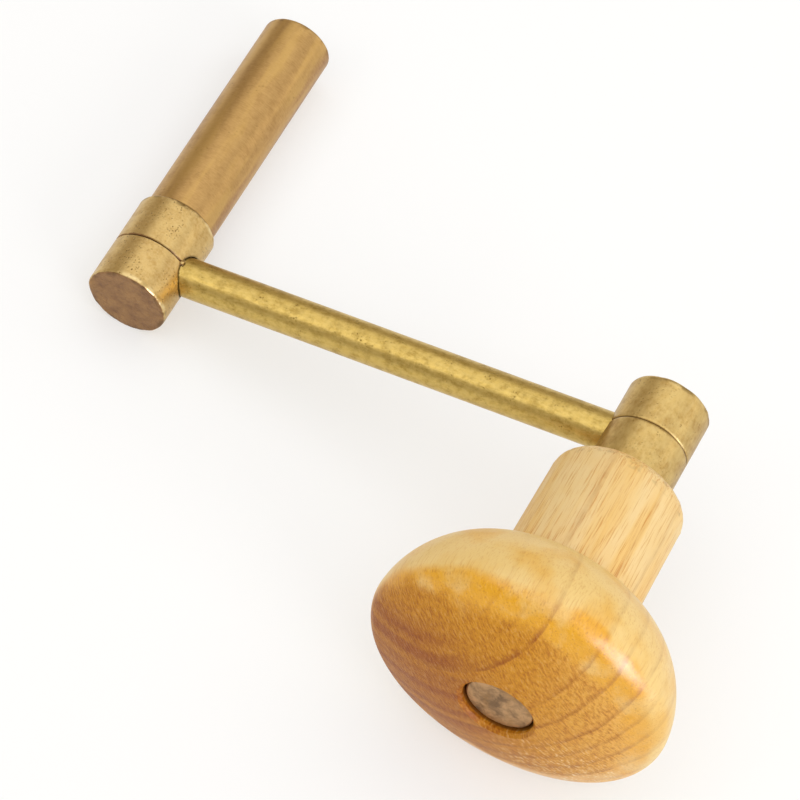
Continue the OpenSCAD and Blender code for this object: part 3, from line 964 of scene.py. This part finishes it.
    # the marks and open fibres stand up a little; the coat fills them at the rim and sinks in on the face
    napLift = add("Math", {0: nap, 1: soaked}, "MULTIPLY")
    relief = add("Math", {0: poreShow, 1: -1.0, 2: fibre}, "MULTIPLY_ADD")
    relief = add("Math", {0: napLift, 1: 2.0, 2: relief}, "MULTIPLY_ADD")
    bump = add("Bump", {"Height": relief, "Distance": look["bump"] * mm})
    # brushed-on lacquer is wavy, which widens and breaks up its highlight
    wave = add("TexNoise", {"Vector": grain, "Scale": 1 / look["waveSize"], "Detail": 1.0})
    filmLift = add("Math", {0: napLift, 1: 0.3}, "MULTIPLY")
    filmLift = add("Math", {0: wave, 1: look["waveHeight"] / look["bump"], 2: filmLift}, "MULTIPLY_ADD")
    film = add("Bump", {"Height": filmLift, "Distance": look["bump"] * mm})
    coat = add("MapRange", {"Value": front, "To Min": 0.5, "To Max": 0.9})
    sunk = add("MapRange", {"Value": soaked, "To Min": 1.0, "To Max": 0.3})
    coat = add("Math", {0: coat, 1: sunk}, "MULTIPLY")
    worn = add("MapRange", {"Value": neck, "To Min": 1.0, "To Max": 0.4})
    coat = add("Math", {0: coat, 1: worn}, "MULTIPLY")
    shader = add("BsdfPrincipled", {
        "Base Color": tone, "Roughness": 0.5, "IOR": 1.5, "Specular IOR Level": 0.05, "Normal": bump,
        "Coat Weight": coat, "Coat Roughness": 0.3, "Coat IOR": 1.6, "Coat Normal": film})
    add("OutputMaterial", {"Surface": shader})
    return material


# Half section of the knob in stations behind the top of its neck, from the bore round to the bore again
def knobSection():
    size = knob
    rim = size["rimRound"]
    rimX = knobRadius - rim
    rimZ = size["length"] - size["crown"]
    faceRadius = (rimX ** 2 + size["crown"] ** 2 - rim ** 2) / (2 * (size["crown"] - rim))
    faceZ = size["length"] - faceRadius
    faceTurn = math.degrees(math.atan2(rimZ - faceZ, rimX))
    turn = math.radians(size["backTurn"])
    backX = rimX - (size["backRound"] - rim) * math.cos(turn)
    backZ = rimZ + (size["backRound"] - rim) * math.sin(turn)
    # a small round fills the valley between neck and head
    valley = size["valleyRound"]
    valleyX = size["neckFoot"] + valley
    valleyZ = backZ - math.sqrt((size["backRound"] + valley) ** 2 - (valleyX - backX) ** 2)
    valleyTurn = math.degrees(math.atan2(backZ - valleyZ, backX - valleyX))
    sink = size["sinkRadius"]
    chamfer = size["sinkChamfer"]
    lipX = sink + chamfer
    lipTurn = math.degrees(math.acos(lipX / faceRadius))
    lipZ = faceZ + math.sqrt(faceRadius ** 2 - lipX ** 2)
    headLevel = neckTop - headFace
    sinkFloor = headLevel - spindle["headThick"] - size["sinkClear"]
    neckIn = size["neckTop"] - size["neckRound"]
    section = [(size["boreRadius"], 0, 0), (neckIn, 0, 0)]
    section += arc((neckIn, size["neckRound"]), size["neckRound"], -90, 0, 12, 0.6)
    section += [(size["neckTop"], size["neckRound"] + size["neckFade"], 0)]
    section += [(size["neckFoot"], valleyZ - size["valleyFade"], 0)]
    # painted shade in the valley between neck and head
    section += arc((valleyX, valleyZ), valley, 180, valleyTurn, 5, -1.0)
    section += arc((backX, backZ), size["backRound"], valleyTurn - 180, -size["backTurn"], 40)
    section += arc((rimX, rimZ), rim, -size["backTurn"], faceTurn, 18)
    section += arc((0, faceZ), faceRadius, faceTurn, lipTurn, 34)
    # painted shade on the sink's wall, from just above the spindle's head down
    section += [
        (sink + size["sinkBreak"], lipZ - chamfer + size["sinkBreak"], 0),
        (sink, lipZ - chamfer, 0),
        (sink, headLevel + size["shadeAbove"], -0.15),
        (sink, headLevel - size["shadeBelow"], -0.8),
        (sink, sinkFloor, -1),
        (size["boreRadius"], sinkFloor, 0),
        (size["boreRadius"], 0, 0),
    ]
    return [(r, neckTop - s, wear) for r, s, wear in section]


def makeKnob():
    ash = woodFinish("lacqueredAsh", knob["finish"])
    piece = turnPiece("wooden_knob", knobSection(), atHandle, knob, ash)
    dress(piece, "knob", "handle_knob")


makeBarrel()
makeBarrelBoss()
makeHandleBoss()
makeArm()
makeSpindle()
makeKnob()

# Floor: pale matt board, half lit by its own white so that only a soft shadow stays
floorLook = {"size": 4000.0, "sides": 96, "white": "#f7f7f5", "glow": 0.5}


def makeFloor():
    work = bmesh.new()
    bmesh.ops.create_circle(work, cap_ends=True, segments=floorLook["sides"], radius=floorLook["size"] * mm)
    bmesh.ops.translate(work, verts=work.verts, vec=(0, 0, cadLow.z))
    mesh = bpy.data.meshes.new("studio_floor")
    work.to_mesh(mesh)
    work.free()
    floor = bpy.data.objects.new("studio_floor", mesh)
    scene.collection.objects.link(floor)
    material = bpy.data.materials.new("paleBoard")
    add = emptyTree(material)
    paths = add("LightPath").node.outputs
    seen = add("Math", {0: paths["Is Camera Ray"], 1: paths["Is Glossy Ray"]}, "MAXIMUM")
    seen = add("Math", {0: seen, 1: paths["Is Transmission Ray"]}, "MAXIMUM")
    seen = add("Math", {0: seen, 1: floorLook["glow"]}, "MULTIPLY")
    matt = add("BsdfDiffuse", {"Color": tint(floorLook["white"])})
    glow = add("Emission", {"Color": (1, 1, 1, 1), "Strength": 1.0})
    board = add("MixShader", {0: seen, 1: matt, 2: glow})
    add("OutputMaterial", {"Surface": board})
    mesh.materials.append(material)


# Studio: a large soft light overhead, smaller ones round the key, a card that only the gloss shows, and a
# room that is dim and warm on the left
studioCentre = Vector((40, -45, 5))
softLights = (
    {"name": "overhead", "azimuth": 0, "elevation": 90, "distance": 1100, "width": 2000, "height": 2000,
     "radiance": 0.74, "tint": "#f4f8ff"},
    {"name": "rightBack", "azimuth": 126, "elevation": 20, "distance": 900, "width": 420, "height": 420,
     "radiance": 0.7, "tint": "#ffffff"},
    {"name": "leftFront", "azimuth": -46, "elevation": 45, "distance": 900, "width": 330, "height": 260,
     "radiance": 0.7, "tint": "#ffffff"},
    {"name": "rightFront", "azimuth": 63, "elevation": 21, "distance": 900, "width": 440, "height": 440,
     "radiance": 2.85, "tint": "#ffffff"},
    {"name": "glossCard", "azimuth": 62, "elevation": 18, "distance": 890, "width": 860, "height": 600,
     "radiance": 5.0, "tint": "#c8d4ff", "glossOnly": True},
)
roomLook = {"dim": "#c8bcab", "open": "#d6d2cd", "strength": 0.85, "openSide": (0.5, -0.45, 0.45)}


# Direction from the key, azimuth 0 in front and 90 to the right
def outward(azimuth, elevation):
    turn = math.radians(azimuth)
    rise = math.radians(elevation)
    return Vector((math.sin(turn) * math.cos(rise), -math.cos(turn) * math.cos(rise), math.sin(rise)))


def makeLights():
    for look in softLights:
        lamp = bpy.data.lights.new(look["name"], "AREA")
        lamp.shape = "RECTANGLE"
        lamp.size = look["width"] * mm
        lamp.size_y = look["height"] * mm
        lamp.energy = 4 * lamp.size * lamp.size_y * look["radiance"]  # watts for this radiance
        lamp.color = tint(look["tint"])[:3]
        holder = bpy.data.objects.new(look["name"], lamp)
        away = outward(look["azimuth"], look["elevation"])
        holder.location = (studioCentre + away * look["distance"]) * mm
        holder.rotation_euler = (-away).to_track_quat("-Z", "Y").to_euler()
        holder.visible_camera = False
        holder.visible_diffuse = not look.get("glossOnly", False)
        scene.collection.objects.link(holder)
    world = bpy.data.worlds.new("room")
    scene.world = world
    add = emptyTree(world)
    direction = add("TexCoord")
    lean = add("VectorMath", {0: direction, 1: roomLook["openSide"]}, "DOT_PRODUCT")
    lean = add("MapRange", {"Value": lean.node.outputs["Value"], "From Min": -0.5, "From Max": 0.6})
    tone = add("Mix", {
        "Factor": lean, "A": tint(roomLook["dim"]), "B": tint(roomLook["open"])}, data_type="RGBA")
    room = add("Background", {"Color": tone, "Strength": roomLook["strength"]})
    add("OutputWorld", {"Surface": room})


# Camera as the photograph was taken, from the knob's side and above
cameraView = {"aim": (41.08, -43.67, -8.72), "azimuth": 14.72, "elevation": 57.60, "roll": 14.21,
              "distance": 670.0, "lens": 202.5}


def makeCamera():
    data = bpy.data.cameras.new("camera")
    data.lens = cameraView["lens"]
    data.sensor_width = 36.0
    data.clip_end = 20.0
    camera = bpy.data.objects.new("camera", data)
    away = outward(cameraView["azimuth"], cameraView["elevation"])
    camera.location = (Vector(cameraView["aim"]) + away * cameraView["distance"]) * mm
    level = (-away).to_track_quat("-Z", "Y")
    camera.rotation_mode = "QUATERNION"
    camera.rotation_quaternion = level @ Quaternion((0, 0, 1), math.radians(cameraView["roll"]))
    scene.collection.objects.link(camera)
    scene.camera = camera


makeFloor()
makeLights()
makeCamera()
scene.view_settings.view_transform = "Standard"
print("studio ready with", len(softLights), "soft lights")
